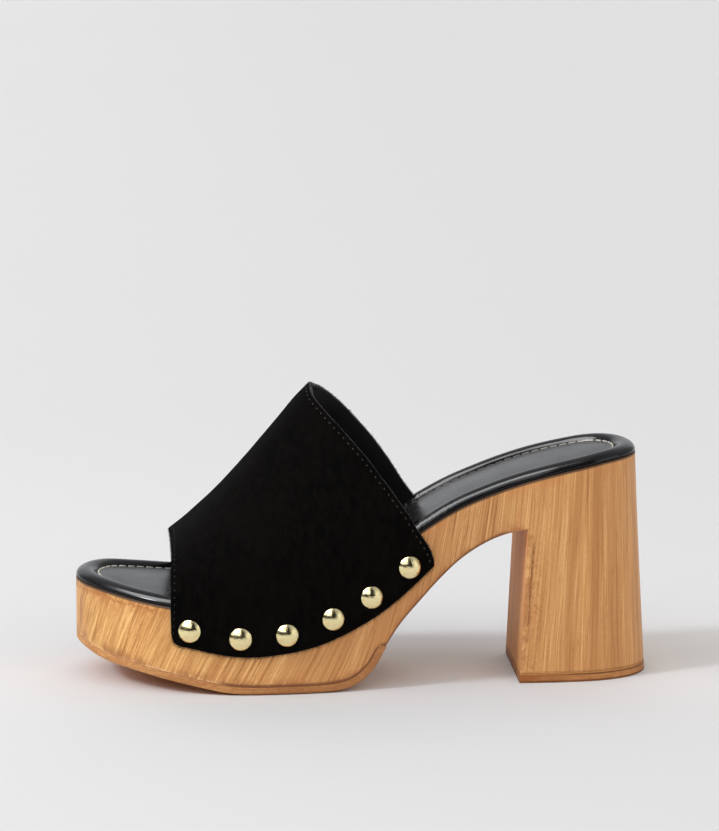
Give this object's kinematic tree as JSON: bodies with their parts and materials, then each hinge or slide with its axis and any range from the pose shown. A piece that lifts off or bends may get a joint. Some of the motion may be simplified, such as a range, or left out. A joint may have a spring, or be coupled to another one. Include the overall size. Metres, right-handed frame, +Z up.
{
  "type": "high-heeled clog mule",
  "caption": "Left slip-on clog: one-piece platform sole with an arched waist and block heel, padded insole, and a wide open-toe band nailed to both sides.",
  "frame": {"origin": "middle of the shoe's bounding box, on the floor", "axes": "+X from toe to heel, +Y towards the medial (inner) side of the foot, +Z up"},
  "size_m": [0.2425, 0.0965, 0.1248],
  "materials": {
    "wood": "honey-tan grain under a thin satin varnish, streaked lengthwise",
    "outsole_rubber": "tan rubber, matte, the wood's colour",
    "insole_leather": "black smooth leather with a soft sheen, padded, stitched round its middle panel",
    "suede": "black suede, matte nap, raw edges",
    "brass": "polished pale brass"
  },
  "bodies": {
    "root": {"wood_sole": "wood", "forefoot_outsole": "outsole_rubber", "heel_top_piece": "outsole_rubber", "insole_cushion": "insole_leather", "sock_panel": "insole_leather", "upper": "suede", "stud_lateral_1": "brass", "stud_lateral_2": "brass", "stud_lateral_3": "brass", "stud_lateral_4": "brass", "stud_lateral_5": "brass", "stud_lateral_6": "brass", "stud_medial_1": "brass", "stud_medial_2": "brass", "stud_medial_3": "brass", "stud_medial_4": "brass", "stud_medial_5": "brass", "stud_medial_6": "brass"}
  },
  "joints": []
}
